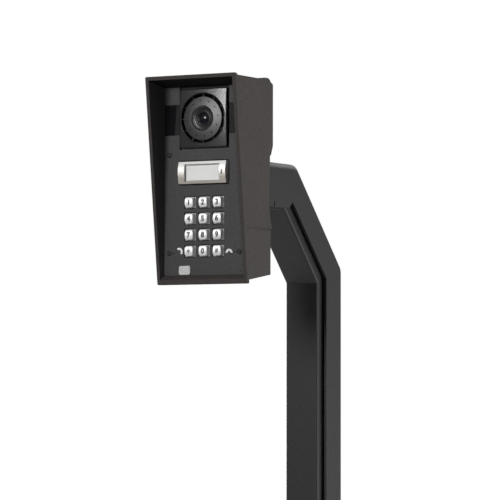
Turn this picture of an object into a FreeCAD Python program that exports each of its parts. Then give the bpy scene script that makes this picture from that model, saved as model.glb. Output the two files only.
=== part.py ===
import FreeCAD, Part
import math
import os

Vec = FreeCAD.Vector

# Gooseneck gate intercom post, in millimetres.
# Row frame: +X to the right of someone facing the station, +Y away from them, +Z up.
# The origin is the centre of the base plate's anchor pattern, on the ground.
# The station head is drawn in its own frame first: x = 0 in the middle, y = 0 on the
# front plate's face and z = 0 at the foot of the rim, and is then set on the neck.

# Post and neck
POST_HEIGHT = 1220.0        # ground to the top of the level neck
NECK_DROP = 108.5         # height of the slanted length
NECK_RUN = 103.4            # and its run
FRONT_REACH = 234.6         # post axis to the front plate's face
CHANNEL_WIDTH = 50.0
CHANNEL_DEPTH = 37.6
CHANNEL_SLANT_DEPTH = 35.4  # the slanted length has shorter sides
CHANNEL_SHEET = 3.0
CHANNEL_BEND = 6.0          # outer radius of the folded long edges
CHANNEL_TURN = 14.0         # outer radius where the post leans and levels
HEAD_CHANNEL_DEPTH = 47.6   # the level length has deeper sides
HEAD_CUT_DROP = 40.7        # their cut-off corner starts this far under the neck's top
HEAD_CUT_RUN = 8.1
COVER_GAP = 2.25            # each side, between cover and channel
COVER_SHEET = 2.0
COVER_BEND = 2.6
COVER_TURN = 3.0
COVER_PROUD = 11.4          # cover's face ahead of the channel's edge
COVER_SLANT_DEPTH = 47.3    # whole depth of the slanted length
COVER_LEG = 23.0
BRACKET_LENGTH = 30.0
BRACKET_SHEET = 3.0
BRACKET_COUNT = 3
BRACKET_LOW_Z = 240.0
BRACKET_HIGH_DROP = 110.0   # highest bracket under the foot of the slanted length
RELIEF_WIDTH = 1.6
RELIEF_HEIGHT = 6.0
RELIEF_SETBACK = 33.0       # bend relief ahead of the sides' cut-off corner

# Base plate
BASE_SIZE = 240.0
BASE_THICK = 8.0
BASE_CORNER = 15.0
BASE_EDGE = 1.0
ANCHOR_SPACING = 190.0
ANCHOR_HOLE_R = 7.0
DUCT_HALF_WIDTH = 17.0
DUCT_FRONT = 17.0
DUCT_BACK = 20.5
DUCT_CORNER = 6.0

# Housing: one cast shell with the hood
HEAD_DROP = 134.0           # neck top above the rim's foot
HEAD_WIDTH = 109.0
HEAD_HEIGHT = 217.0
RIM_TOP_REACH = 30.3        # rim's face ahead of the plate at the top
RIM_FOOT_REACH = 4.4
RIM_FACE = 4.0
RIM_FACE_FOOT = 5.2
RIM_DEPTH = 4.5
RIM_CORNER = 1.6
RIM_EDGE = 0.7
RIM_STEP = 2.3              # rim stands this far outside the walls
BACK_Y = 52.7
BODY_TOP_DROP = 1.6
TOP_FLARE = 2.0             # rise of the roof towards its back edge
TOP_FLARE_START = 26.0
TOP_FLARE_END = 39.0
TOP_BACK_R = 10.0
FOOT_FRONT_Z = 3.2
FOOT_BACK_Z = 11.3
FOOT_BACK_R = 2.0
BACK_EDGE_R = 3.0
CREASE_Z = 59.0             # where the grip hollow in the side walls ends
HALF_BACK_FOOT = 51.1       # half widths at the back edge
HALF_BACK_CREASE = 52.8
HALF_BACK_WAIST = 49.4
HALF_BACK_TOP = 51.2
WAIST_LOW_Z = 84.0
WAIST_HIGH_Z = 108.0
WAIST_END_Z = 156.0
CAVITY_HALF = 46.0
CAVITY_FOOT_Z = 15.5
CAVITY_TOP_Z = 203.6
CAVITY_CORNER = 6.0
BACK_WALL = 3.5
BACK_BOSS_Y = 59.3
BACK_BOSS_HALF = 50.2
BACK_BOSS_FOOT_Z = 136.5
BACK_BOSS_SLOPE_Z = 152.0
BACK_BOSS_TOP_Z = 213.5
BACK_BOSS_R = 8.0
BOSS_WALL = 4.0
SCREW_BOSS_R = 3.2

# Front plate and its seat
PLATE_HALF = 48.3
PLATE_FOOT_Z = 9.7
PLATE_TOP_Z = 207.3
PLATE_THICK = 3.0
PLATE_CORNER = 1.5
SEAT_CLEARANCE = 0.25
GASKET_THICK = 1.0
SCREW_X = 42.2
SCREW_LOW_Z = 33.3
SCREW_HIGH_Z = 136.3
SCREW_R = 1.6
SCREW_HEAD_R = 2.7
SCREW_HEAD = 1.1
SCREW_LENGTH = 14.0
SCREW_SOCKET_R = 1.15
SCREW_CLEARANCE = 0.1
PINHOLE_X = 36.6
PINHOLE_R = 0.7
DRAIN_X = 44.2
DRAIN_Z = 12.9
DRAIN_R = 0.6
PILLAR_X = 35.4
PILLAR_LOW_Z = 24.5
PILLAR_HIGH_Z = 131.0
PILLAR_R = 2.2

# Smoked window band
WINDOW_FOOT_Z = 157.0
WINDOW_TOP_Z = 189.2
WINDOW_SEAT = 1.6
WINDOW_THICK = 1.2
WINDOW_CLEARANCE = 0.15

# Camera block
BLOCK_HALF = 28.5
BLOCK_FOOT_Z = 143.2
BLOCK_TOP_Z = 204.8
BLOCK_PROUD = 4.6           # top of the face's shallow dome
BLOCK_DOME_R = 400.0
BLOCK_ROUND = 1.0
BLOCK_GAP = 1.5
BLOCK_CORNER = 1.4
BLOCK_FLANGE = 4.0
BLOCK_FLANGE_THICK = 2.0
RING_Z = 173.5
SLOT_OUT_R = 25.9
SLOT_IN_R = 23.0
SLOT_RIB = 1.0
SLOT_RIB_DEPTH = 2.5
SLOT_RIB_INSET = 1.9
SLOT_COUNT = 12
BEAD_OUT_R = 27.3
BEAD_PROUD = 0.6
HUB_R = 19.5
CHAMBER_R = 28.0
CHAMBER_WALL = 1.6
CHAMBER_END_Y = 18.0
RING_FACE_Y = -3.4          # at the ring's outer edge
RING_DOME_R = 110.0
RING_THICK = 2.6
RING_HOLE_R = 0.7
RING_HOLE_PCR = 18.7
RING_HOLE_COUNT = 12
SINK_OUT_R = 13.7           # countersink round the lens
SINK_IN_R = 12.1
SINK_DEPTH = 1.5
BARREL_STEPS = ((12.0, -3.4), (10.2, -2.0), (8.2, -2.6), (6.6, -0.8))
BARREL_END_Y = 13.0
LENS_R = 6.0
LENS_CROWN = 1.6
LENS_CLEARANCE = 0.1
CAMERA_BOARD_R = 18.0
BOARD_THICK = 1.6

# Loudspeaker
SPEAKER_FLANGE = 2.0
SPEAKER_BASKET_R = 25.0
SPEAKER_BASKET_Y = 29.0
MAGNET_R = 15.0
MAGNET_Y = 38.0
CONE_SHEET = 0.8

# Call button with its label
BUTTON_HALF = 28.9
BUTTON_HEIGHT = 23.3
BUTTON_Z = 117.05
BUTTON_EDGE_PROUD = 4.0
BUTTON_CROWN = 2.3
BUTTON_GAP = 1.3
BUTTON_FLANGE = 1.5
BUTTON_TRAVEL = 0.8
LABEL_HALF = 21.1
LABEL_Z = 116.75
LABEL_HEIGHT = 18.1
LABEL_FLOOR_Y = -2.1
CARD_THICK = 0.3
LABEL_GLASS = 1.7
LABEL_CLEARANCE = 0.1
BUTTON_FLOOR = 2.1
BUTTON_WALL = 2.0
LATCH_X = 24.4
LATCH_R = 1.1
LATCH_HEIGHT = 5.2
LATCH_DEPTH = 2.5

# Keys, 3 across and 4 down
KEY_NAMES = ("1", "2", "3", "4", "5", "6", "7", "8", "9", "star", "0", "hash")
KEY_COLUMNS = 3
KEY_ROWS = 4
KEY_PITCH_X = 17.0
KEY_PITCH_Z = 17.0
KEY_TOP_ROW_Z = 86.0
KEY_WIDTH = 12.6            # the collar round the pillow
KEY_HEIGHT = 11.6
KEY_CORNER = 1.0
KEY_COLLAR_Y = 1.0          # the collar lies this far under the plate's face
KEY_LEDGE = 0.6             # how much of the collar shows round the pillow's foot
KEY_TOP_WIDTH = 9.4         # the pillow's flanks draw in to this rounded top
KEY_TOP_HEIGHT = 10.2
KEY_TOP_CORNER = 3.2
KEY_EDGE_PROUD = 2.6        # crown's height at the key's upper and lower edges
KEY_CROWN = 0.9
KEY_ROUND = 0.5
KEY_GAP = 1.0
KEY_FLANGE = 1.7
KEY_TRAVEL = 1.0
KEY_POCKET_R = 4.2
KEY_POCKET_Y = 1.0
MOVING_CLEARANCE = 0.3
FLANGE_THICK = 1.2

# Rubber mat and boards
MAT_Y = 7.5
MAT_THICK = 1.0
MAT_HALF = 32.6
MAT_EDGE_Z = 26.0
DOME_R = 3.5
DOME_LEAD = 1.2
BUTTON_DOME_X = 18.0
BOARD_HALF = 37.8
BOARD_FOOT_Z = 20.5
BOARD_TOP_Z = 134.5
MAIN_BOARD_Y = 24.0
SPACER_R = 2.6
BOARD_SCREW_R = 1.2
BOARD_HEAD_R = 2.5
BOARD_HEAD = 1.8
MIC_R = 1.4
MIC_BOOT_R = 2.3
MIC_Y = 4.2
MIC_LENGTH = 2.6
TERMINAL_HALF = 17.5
TERMINAL_DEPTH = 11.0
TERMINAL_HEIGHT = 11.0
TERMINAL_FOOT_Z = 26.0
TERMINAL_WAYS = 7
TERMINAL_HOLE_R = 1.5

# Flange between the housing and the neck
FLANGE_HALF = 42.0
FLANGE_PLATE = 5.0
FLANGE_FOOT_Z = 80.0
FLANGE_CORNER = 4.0
BOLT_X = 33.0
BOLT_LOW_Z = 88.0
BOLT_HIGH_Z = 124.0
BOLT_R = 3.0
BOLT_CLEARANCE = 0.3
BOLT_HEAD_R = 5.0
BOLT_HEAD = 4.0
INLET_Z = 108.0
INLET_R = 10.0
GROMMET_COLLAR = 3.0
GROMMET_LIP = 2.5
GROMMET_SKIN = 1.0
GROMMET_SQUEEZE = 0.05
FLANGE_INLET_R = 15.0

# Small pale plate near the lower left corner
BADGE_X = -23.4
BADGE_Z = 15.2
BADGE_WIDTH = 13.4
BADGE_HEIGHT = 9.3
BADGE_THICK = 0.8
BADGE_CORNER = 2.0

# Values worked out from those above
RIM_HALF = HEAD_WIDTH / 2
BODY_HALF = RIM_HALF - RIM_STEP
BODY_TOP_Z = HEAD_HEIGHT - BODY_TOP_DROP
LEDGE_Y = PLATE_THICK + GASKET_THICK
INNER_BACK_Y = BACK_Y - BACK_WALL
FLANGE_BACK_Y = BACK_Y + FLANGE_PLATE
HEAD_Z = POST_HEIGHT - HEAD_DROP
HEAD_Y = -FRONT_REACH
BUTTON_FACE_Y = -BUTTON_EDGE_PROUD - BUTTON_CROWN
BUTTON_BACK_Y = PLATE_THICK + MOVING_CLEARANCE + BUTTON_FLANGE
KEY_BACK_Y = PLATE_THICK + MOVING_CLEARANCE + FLANGE_THICK
KEYPAD_BOARD_Y = MAT_Y + MAT_THICK
KEYPAD_BOARD_BACK_Y = KEYPAD_BOARD_Y + BOARD_THICK
MAIN_BOARD_BACK_Y = MAIN_BOARD_Y + BOARD_THICK
SCREW_PLACES = [(x, z) for x in (-SCREW_X, SCREW_X) for z in (SCREW_LOW_Z, SCREW_HIGH_Z)]
PILLAR_PLACES = [(x, z) for x in (-PILLAR_X, PILLAR_X) for z in (PILLAR_LOW_Z, PILLAR_HIGH_Z)]
BOLT_PLACES = [(x, z) for x in (-BOLT_X, BOLT_X) for z in (BOLT_LOW_Z, BOLT_HIGH_Z)]
WIDE = HEAD_HEIGHT + BASE_SIZE      # longer than anything that a cutting solid has to cross


def rim_y(z):
    """The leaning face of the rim at height z."""
    lean = (RIM_TOP_REACH - RIM_FOOT_REACH) / HEAD_HEIGHT
    return -RIM_FOOT_REACH - lean * z


def key_places():
    """Name, x and z of each key, left to right and top to bottom."""
    places = []
    for index, name in enumerate(KEY_NAMES):
        column = index % KEY_COLUMNS - (KEY_COLUMNS - 1) / 2
        row = index // KEY_COLUMNS
        places.append((name, column * KEY_PITCH_X, KEY_TOP_ROW_Z - row * KEY_PITCH_Z))
    return places


def box(x0, x1, y0, y1, z0, z1):
    return Part.makeBox(x1 - x0, y1 - y0, z1 - z0, Vec(x0, y0, z0))


def rod(x, z, y0, y1, radius):
    """Cylinder along +Y."""
    return Part.makeCylinder(radius, y1 - y0, Vec(x, y0, z), Vec(0, 1, 0))


def rounded_wire(points, to_space):
    """Closed outline through (u, v, radius) corners, with an arc at each radius."""
    count = len(points)
    edges = []
    ends = []
    for i in range(count):
        u, v, radius = points[i]
        corner = to_space(u, v)
        if radius <= 0:
            ends.append((corner, corner))
            continue
        before = to_space(*points[i - 1][:2])
        after = to_space(*points[(i + 1) % count][:2])
        back = (before - corner).normalize()
        ahead = (after - corner).normalize()
        half = back.getAngle(ahead) / 2
        cut = radius / math.tan(half)
        start = corner + back * cut
        end = corner + ahead * cut
        bisector = (back + ahead).normalize()
        middle = corner + bisector * (radius / math.sin(half) - radius)
        edges.append(Part.Arc(start, middle, end).toShape())
        ends.append((start, end))
    for i in range(count):
        start = ends[i][1]
        end = ends[(i + 1) % count][0]
        if start.distanceToPoint(end) > 1e-6:
            edges.append(Part.makeLine(start, end))
    return Part.Wire(Part.__sortEdges__(edges))


def face_xz(points, y):
    return Part.Face(rounded_wire(points, lambda u, v: Vec(u, y, v)))


def prism_xz(points, y0, y1):
    """Outline drawn in x and z, carried from y0 to y1."""
    return face_xz(points, y0).extrude(Vec(0, y1 - y0, 0))


def prism_yz(points, half):
    """Outline drawn in y and z, carried across x from -half to +half."""
    face = Part.Face(rounded_wire(points, lambda u, v: Vec(-half, u, v)))
    return face.extrude(Vec(2 * half, 0, 0))


def prism_xy(points, z0, z1):
    """Outline drawn in x and y, carried from z0 to z1."""
    face = Part.Face(rounded_wire(points, lambda u, v: Vec(u, v, z0)))
    return face.extrude(Vec(0, 0, z1 - z0))


def rectangle(x0, x1, z0, z1, radius=0.0):
    return [(x0, z0, radius), (x1, z0, radius), (x1, z1, radius), (x0, z1, radius)]


def pad(x, z, width, height, y0, y1, radius=0.0):
    """Rounded rectangle centred on x and z, from y0 to y1."""
    outline = rectangle(x - width / 2, x + width / 2, z - height / 2, z + height / 2, radius)
    return prism_xz(outline, y0, y1)


def turned(profile, x, z):
    """Solid turned about the line along Y at x, z, from (radius, y) points."""
    points = [Vec(x + r, y, z) for r, y in profile]
    points.append(points[0])
    face = Part.Face(Part.makePolygon(points))
    return face.revolve(Vec(x, 0, z), Vec(0, 1, 0), 360)


def crown(y_edge, rise, z, height, half, y_back):
    """Bar along x with a barrel face: y_edge at its long edges, rise more in the middle."""
    bottom = z - height / 2
    top = z + height / 2
    peak = Vec(-half, -y_edge - rise, z)
    arc = Part.Arc(Vec(-half, -y_edge, bottom), peak, Vec(-half, -y_edge, top))
    edges = [
        arc.toShape(),
        Part.makeLine(Vec(-half, -y_edge, top), Vec(-half, y_back, top)),
        Part.makeLine(Vec(-half, y_back, top), Vec(-half, y_back, bottom)),
        Part.makeLine(Vec(-half, y_back, bottom), Vec(-half, -y_edge, bottom)),
    ]
    return Part.Face(Part.Wire(edges)).extrude(Vec(2 * half, 0, 0))


def dome(y_peak, radius, x, z):
    """Ball whose foremost point lies at x, y_peak, z."""
    return Part.makeSphere(radius, Vec(x, y_peak + radius, z))


def dome_y(y_peak, radius, r):
    """Depth of such a dome's surface at the distance r from its axis."""
    return y_peak + radius - math.sqrt(radius ** 2 - r ** 2)


def fillet_where(shape, radius, chosen):
    """Rounds the edges whose two end points both satisfy chosen."""
    edges = [e for e in shape.Edges if all(chosen(v.Point) for v in e.Vertexes)]
    return shape.makeFillet(radius, edges)


def fuse(first, others):
    return first.fuse(others).removeSplitter()


# Housing


def wall_section(z, half_back):
    front = -RIM_TOP_REACH - RIM_DEPTH
    outline = [
        (-BODY_HALF, front, 0),
        (BODY_HALF, front, 0),
        (half_back, BACK_Y, BACK_EDGE_R),
        (-half_back, BACK_Y, BACK_EDGE_R),
    ]
    return rounded_wire(outline, lambda u, v: Vec(u, v, z))


def side_walls():
    """Outer form of the walls: a plain foot, then a shallow grip hollow, then the top."""
    low = [wall_section(z, HALF_BACK_FOOT) for z in (0, CREASE_Z)]
    foot = Part.makeLoft(low, True, True)
    stations = (
        (CREASE_Z, HALF_BACK_CREASE),
        ((CREASE_Z + WAIST_LOW_Z) / 2, (HALF_BACK_CREASE + 2 * HALF_BACK_WAIST) / 3),
        (WAIST_LOW_Z, HALF_BACK_WAIST),
        (WAIST_HIGH_Z, HALF_BACK_WAIST),
        ((WAIST_HIGH_Z + WAIST_END_Z) / 2, (HALF_BACK_WAIST + HALF_BACK_TOP) / 2),
        (WAIST_END_Z, HALF_BACK_TOP),
    )
    hollow = Part.makeLoft([wall_section(z, half) for z, half in stations], True, False)
    high = [wall_section(z, HALF_BACK_TOP) for z in (WAIST_END_Z, HEAD_HEIGHT + TOP_FLARE)]
    top = Part.makeLoft(high, True, True)
    return foot.fuse([hollow, top])


def body_profile():
    flare_z = BODY_TOP_Z + TOP_FLARE
    outline = [
        (rim_y(FOOT_FRONT_Z) + RIM_DEPTH / 2, FOOT_FRONT_Z, 0),
        (BACK_Y, FOOT_BACK_Z, FOOT_BACK_R),
        (BACK_Y, flare_z, TOP_BACK_R),
        (TOP_FLARE_END, flare_z, TOP_BACK_R / 2),
        (TOP_FLARE_START, BODY_TOP_Z, TOP_BACK_R),
        (rim_y(BODY_TOP_Z) + RIM_DEPTH / 2, BODY_TOP_Z, 0),
    ]
    return prism_yz(outline, HEAD_WIDTH)


def rim():
    outline = [
        (rim_y(0), 0, 0),
        (rim_y(0) + RIM_DEPTH, 0, 0),
        (rim_y(HEAD_HEIGHT) + RIM_DEPTH, HEAD_HEIGHT, 0),
        (rim_y(HEAD_HEIGHT), HEAD_HEIGHT, 0),
    ]
    lean = prism_yz(outline, HEAD_WIDTH)
    block = prism_xz(rectangle(-RIM_HALF, RIM_HALF, 0, HEAD_HEIGHT, RIM_CORNER), -WIDE, WIDE)
    solid = lean.common(block)

    def on_face(p):
        return abs(p.y - rim_y(p.z)) < 0.01

    return fillet_where(solid, RIM_EDGE, on_face)


def hood_space():
    """The hollow in front of the plate, which widens from the plate to the rim."""
    half = RIM_HALF - RIM_FACE
    near = rectangle(-PLATE_HALF, PLATE_HALF, PLATE_FOOT_Z, PLATE_TOP_Z)
    far = rectangle(-half, half, RIM_FACE_FOOT, HEAD_HEIGHT - RIM_FACE)
    past = 1.2
    inner = []
    outer = []
    for (x0, z0, _), (x1, z1, _) in zip(near, far):
        start = Vec(x0, 0, z0)
        end = Vec(x1, rim_y(z1), z1)
        inner.append(start)
        outer.append(start + (end - start) * past)
    wires = [Part.makePolygon(corners + [corners[0]]) for corners in (inner, outer)]
    return Part.makeLoft(wires, True, True)


def back_boss():
    outline = [
        (BACK_Y - BACK_WALL, BACK_BOSS_FOOT_Z, 0),
        (BACK_Y, BACK_BOSS_FOOT_Z, 0),
        (BACK_BOSS_Y, BACK_BOSS_SLOPE_Z, BACK_BOSS_R),
        (BACK_BOSS_Y, BACK_BOSS_TOP_Z, BACK_BOSS_R),
        (BACK_Y - BACK_WALL, BACK_BOSS_TOP_Z, 0),
    ]
    lump = prism_yz(outline, HEAD_WIDTH)
    plan = [
        (-BACK_BOSS_HALF, 0, 0),
        (BACK_BOSS_HALF, 0, 0),
        (BACK_BOSS_HALF, BACK_BOSS_Y, BACK_EDGE_R),
        (-BACK_BOSS_HALF, BACK_BOSS_Y, BACK_EDGE_R),
    ]
    return lump.common(prism_xy(plan, 0, HEAD_HEIGHT))


def cavity_outline():
    return rectangle(-CAVITY_HALF, CAVITY_HALF, CAVITY_FOOT_Z, CAVITY_TOP_Z, CAVITY_CORNER)


def housing():
    body = side_walls().common(body_profile())
    body = body.fuse([rim(), back_boss()])
    cavity = prism_xz(cavity_outline(), LEDGE_Y - 1, INNER_BACK_Y)
    boss_half = BACK_BOSS_HALF - 2 * BOSS_WALL
    boss_cavity = box(
        -boss_half,
        boss_half,
        INNER_BACK_Y - 1,
        BACK_BOSS_Y - BOSS_WALL,
        BACK_BOSS_SLOPE_Z + BOSS_WALL,
        CAVITY_TOP_Z - BOSS_WALL,
    )
    seat_half = PLATE_HALF + SEAT_CLEARANCE
    seat_foot = PLATE_FOOT_Z - SEAT_CLEARANCE
    seat = box(-seat_half, seat_half, -SEAT_CLEARANCE, LEDGE_Y, seat_foot, PLATE_TOP_Z + SEAT_CLEARANCE)
    body = body.cut([cavity, boss_cavity, seat, hood_space()])
    posts = []
    holes = []
    for x, z in SCREW_PLACES:
        posts.append(rod(x, z, LEDGE_Y, INNER_BACK_Y + 1, SCREW_BOSS_R))
        side = math.copysign(1.0, x)
        web = sorted((x, side * (CAVITY_HALF + 1)))
        posts.append(box(web[0], web[1], LEDGE_Y, INNER_BACK_Y + 1, z - SCREW_R, z + SCREW_R))
        holes.append(rod(x, z, 0, SCREW_LENGTH + 1, SCREW_R + SCREW_CLEARANCE))
    for x, z in BOLT_PLACES:
        holes.append(rod(x, z, INNER_BACK_Y - 1, BACK_Y + 1, BOLT_R + BOLT_CLEARANCE))
    holes.append(rod(0, INLET_Z, INNER_BACK_Y - 1, BACK_Y + 1, INLET_R))
    return fuse(body, posts).cut(holes)


# Front plate, its seal and what is set in it


def plate_outline():
    return rectangle(-PLATE_HALF, PLATE_HALF, PLATE_FOOT_Z, PLATE_TOP_Z, PLATE_CORNER)


def front_plate():
    plate = prism_xz(plate_outline(), 0, PLATE_THICK)
    gap_half = BLOCK_HALF + BLOCK_GAP
    past = PLATE_THICK + 1
    button_width = 2 * (BUTTON_HALF + BUTTON_GAP)
    button_height = BUTTON_HEIGHT + 2 * BUTTON_GAP
    cuts = [
        box(-gap_half, gap_half, -1, past, BLOCK_FOOT_Z - BLOCK_GAP, PLATE_TOP_Z + 1),
        box(-PLATE_HALF, PLATE_HALF, -1, WINDOW_SEAT, WINDOW_FOOT_Z, WINDOW_TOP_Z),
        pad(0, BUTTON_Z, button_width, button_height, -1, past, BUTTON_GAP),
    ]
    for _, x, z in key_places():
        key_width = KEY_WIDTH + 2 * KEY_GAP
        key_height = KEY_HEIGHT + 2 * KEY_GAP
        cuts.append(pad(x, z, key_width, key_height, -1, past, KEY_CORNER + KEY_GAP))
    for x, z in SCREW_PLACES:
        cuts.append(rod(x, z, -1, past, SCREW_R + SCREW_CLEARANCE))
    for side in (-1, 1):
        cuts.append(rod(side * PINHOLE_X, SCREW_LOW_Z, -1, past, PINHOLE_R))
        cuts.append(rod(side * DRAIN_X, DRAIN_Z, -1, past, DRAIN_R))
    plate = plate.cut(cuts)
    pillars = [rod(x, z, PLATE_THICK - 0.5, KEYPAD_BOARD_Y, PILLAR_R) for x, z in PILLAR_PLACES]
    thread_r = BOARD_SCREW_R + SCREW_CLEARANCE
    threads = [rod(x, z, PLATE_THICK, KEYPAD_BOARD_Y + 1, thread_r) for x, z in PILLAR_PLACES]
    return fuse(plate, pillars).cut(threads)


def panel_gasket():
    outer = prism_xz(plate_outline(), PLATE_THICK, LEDGE_Y)
    inner = prism_xz(cavity_outline(), 0, LEDGE_Y + 1)
    drains = [rod(side * DRAIN_X, DRAIN_Z, 0, LEDGE_Y + 1, 2 * DRAIN_R) for side in (-1, 1)]
    return outer.cut([inner] + drains)


def smoked_window(side):
    inner = BLOCK_HALF + BLOCK_GAP
    outer = PLATE_HALF - WINDOW_CLEARANCE
    ends = sorted((side * inner, side * outer))
    return box(
        ends[0],
        ends[1],
        WINDOW_SEAT - WINDOW_THICK,
        WINDOW_SEAT,
        WINDOW_FOOT_Z + WINDOW_CLEARANCE,
        WINDOW_TOP_Z - WINDOW_CLEARANCE,
    )


def panel_screws():
    screws = []
    for x, z in SCREW_PLACES:
        head = turned(
            [
                (0, -SCREW_HEAD),
                (SCREW_HEAD_R * 0.6, -SCREW_HEAD),
                (SCREW_HEAD_R * 0.9, -SCREW_HEAD * 0.7),
                (SCREW_HEAD_R, -SCREW_HEAD * 0.3),
                (SCREW_HEAD_R, 0),
                (SCREW_R, 0),
                (SCREW_R, SCREW_LENGTH),
                (0, SCREW_LENGTH),
            ],
            x,
            z,
        )
        screws.append(head.cut(rod(x, z, -SCREW_HEAD - 1, -SCREW_HEAD * 0.2, SCREW_SOCKET_R)))
    return Part.makeCompound(screws)


def badge_plate():
    return pad(BADGE_X, BADGE_Z, BADGE_WIDTH, BADGE_HEIGHT, -BADGE_THICK, 0, BADGE_CORNER)


# Camera


def camera_block():
    middle_z = (BLOCK_FOOT_Z + BLOCK_TOP_Z) / 2
    height = BLOCK_TOP_Z - BLOCK_FOOT_Z
    flange_y = PLATE_THICK + BLOCK_FLANGE_THICK
    face = pad(0, middle_z, 2 * BLOCK_HALF, height, -WIDE, flange_y, BLOCK_CORNER)
    face = face.common(dome(-BLOCK_PROUD, BLOCK_DOME_R, 0, RING_Z))

    def in_front(p):
        return p.y < 0

    face = fillet_where(face, BLOCK_ROUND, in_front)
    flange = box(
        -BLOCK_HALF - BLOCK_FLANGE,
        BLOCK_HALF + BLOCK_FLANGE,
        PLATE_THICK,
        flange_y,
        BLOCK_FOOT_Z - BLOCK_FLANGE,
        CAVITY_TOP_Z - 1,
    )
    above = box(-WIDE, WIDE, PLATE_THICK - 0.2, WIDE, CAVITY_TOP_Z - 1, WIDE)
    chamber = rod(0, RING_Z, flange_y - 1, CHAMBER_END_Y, CHAMBER_R)
    face_y = dome_y(-BLOCK_PROUD, BLOCK_DOME_R, BEAD_OUT_R)
    bead = turned(
        [
            (SLOT_OUT_R, 0),
            (SLOT_OUT_R, face_y - BEAD_PROUD * 0.6),
            ((SLOT_OUT_R + BEAD_OUT_R) / 2, face_y - BEAD_PROUD),
            (BEAD_OUT_R, face_y - BEAD_PROUD * 0.2),
            (BEAD_OUT_R, 0),
        ],
        0,
        RING_Z,
    )
    block = fuse(face, [flange, chamber, bead]).cut(above)
    bore = rod(0, RING_Z, -WIDE, WIDE, SLOT_OUT_R)
    block = block.cut(bore)
    hub_back = CHAMBER_END_Y / 2
    hub = rod(0, RING_Z, RING_FACE_Y + RING_THICK, hub_back, HUB_R)
    rib_y = face_y + SLOT_RIB_INSET
    ribs = []
    under_ring_y = rib_y + RING_THICK
    past_r = SLOT_OUT_R + 0.5
    half = SLOT_RIB / 2
    for index in range(SLOT_COUNT):
        rib = box(HUB_R - 1, past_r, under_ring_y, under_ring_y + SLOT_RIB_DEPTH, -half, half)
        nose = box(SLOT_IN_R + 0.1, past_r, rib_y, under_ring_y + 0.5, -half, half)
        for piece in (rib, nose):
            piece.rotate(Vec(0, 0, 0), Vec(0, 1, 0), index * 360 / SLOT_COUNT)
            piece.translate(Vec(0, 0, RING_Z))
            ribs.append(piece)
    block = fuse(block, [hub] + ribs)
    barrel_seat = rod(0, RING_Z, -WIDE, WIDE, BARREL_STEPS[0][0] + SCREW_CLEARANCE)
    return block.cut(barrel_seat)


def camera_ring():
    """Domed ring with a countersink round the lens and small holes."""
    edge_fall = dome_y(0, RING_DOME_R, SLOT_IN_R)
    peak_y = RING_FACE_Y - edge_fall
    sink_y = dome_y(peak_y, RING_DOME_R, SINK_OUT_R)
    body = turned(
        [
            (SINK_IN_R, RING_FACE_Y + RING_THICK),
            (SINK_IN_R, sink_y + SINK_DEPTH),
            (SINK_OUT_R, sink_y),
            (SINK_OUT_R, peak_y),
            (SLOT_IN_R - 0.4, peak_y),
            (SLOT_IN_R - 0.4, RING_FACE_Y),
            (SLOT_IN_R, RING_FACE_Y + 0.4),
            (SLOT_IN_R, RING_FACE_Y + RING_THICK),
        ],
        0,
        RING_Z,
    )
    face = body.common(dome(peak_y, RING_DOME_R, 0, RING_Z))
    holes = []
    for index in range(RING_HOLE_COUNT):
        angle = 2 * math.pi * (index + 0.25) / RING_HOLE_COUNT
        x = RING_HOLE_PCR * math.cos(angle)
        z = RING_Z + RING_HOLE_PCR * math.sin(angle)
        holes.append(rod(x, z, peak_y - 1, RING_FACE_Y + RING_THICK / 2, RING_HOLE_R))
    return face.cut(holes)


def lens_barrel():
    """Stepped tube: each step is a narrower, deeper ring round the lens."""
    outline = [(BARREL_STEPS[0][0], BARREL_END_Y)]
    for radius, y in BARREL_STEPS:
        if outline[-1][0] != radius:
            outline.append((radius, outline[-1][1]))
        outline.append((radius, y))
    seat = LENS_R + LENS_CLEARANCE
    outline.append((seat, BARREL_STEPS[-1][1]))
    outline.append((seat, BARREL_STEPS[-1][1] + 3.0))
    outline.append((0, BARREL_STEPS[-1][1] + 3.0))
    outline.append((0, BARREL_END_Y))
    return turned(outline, 0, RING_Z)


def lens_glass():
    floor = BARREL_STEPS[-1][1] + 3.0
    edge = BARREL_STEPS[-1][1] + 0.6
    body = rod(0, RING_Z, edge, floor, LENS_R)
    ball_r = (LENS_R**2 + LENS_CROWN**2) / (2 * LENS_CROWN)
    ball = Part.makeSphere(ball_r, Vec(0, edge - LENS_CROWN + ball_r, RING_Z))
    cap = ball.common(rod(0, RING_Z, edge - LENS_CROWN - 1, edge, LENS_R))
    return fuse(body, [cap])


def camera_board():
    board = rod(0, RING_Z, BARREL_END_Y, BARREL_END_Y + BOARD_THICK, CAMERA_BOARD_R)
    chip = pad(0, RING_Z, 14.0, 14.0, BARREL_END_Y + BOARD_THICK, BARREL_END_Y + BOARD_THICK + 1.4)
    return fuse(board, [chip])


# Sound


def loudspeaker():
    flange_end = CHAMBER_END_Y + SPEAKER_FLANGE
    inner = SPEAKER_BASKET_R - 1.0
    return turned(
        [
            (inner, CHAMBER_END_Y),
            (CHAMBER_R, CHAMBER_END_Y),
            (CHAMBER_R, flange_end),
            (SPEAKER_BASKET_R, flange_end),
            (MAGNET_R + 2, SPEAKER_BASKET_Y),
            (MAGNET_R, SPEAKER_BASKET_Y),
            (MAGNET_R, MAGNET_Y),
            (0, MAGNET_Y),
            (0, SPEAKER_BASKET_Y - 1),
            (MAGNET_R + 1, SPEAKER_BASKET_Y - 1),
            (inner, flange_end),
        ],
        0,
        RING_Z,
    )


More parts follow.
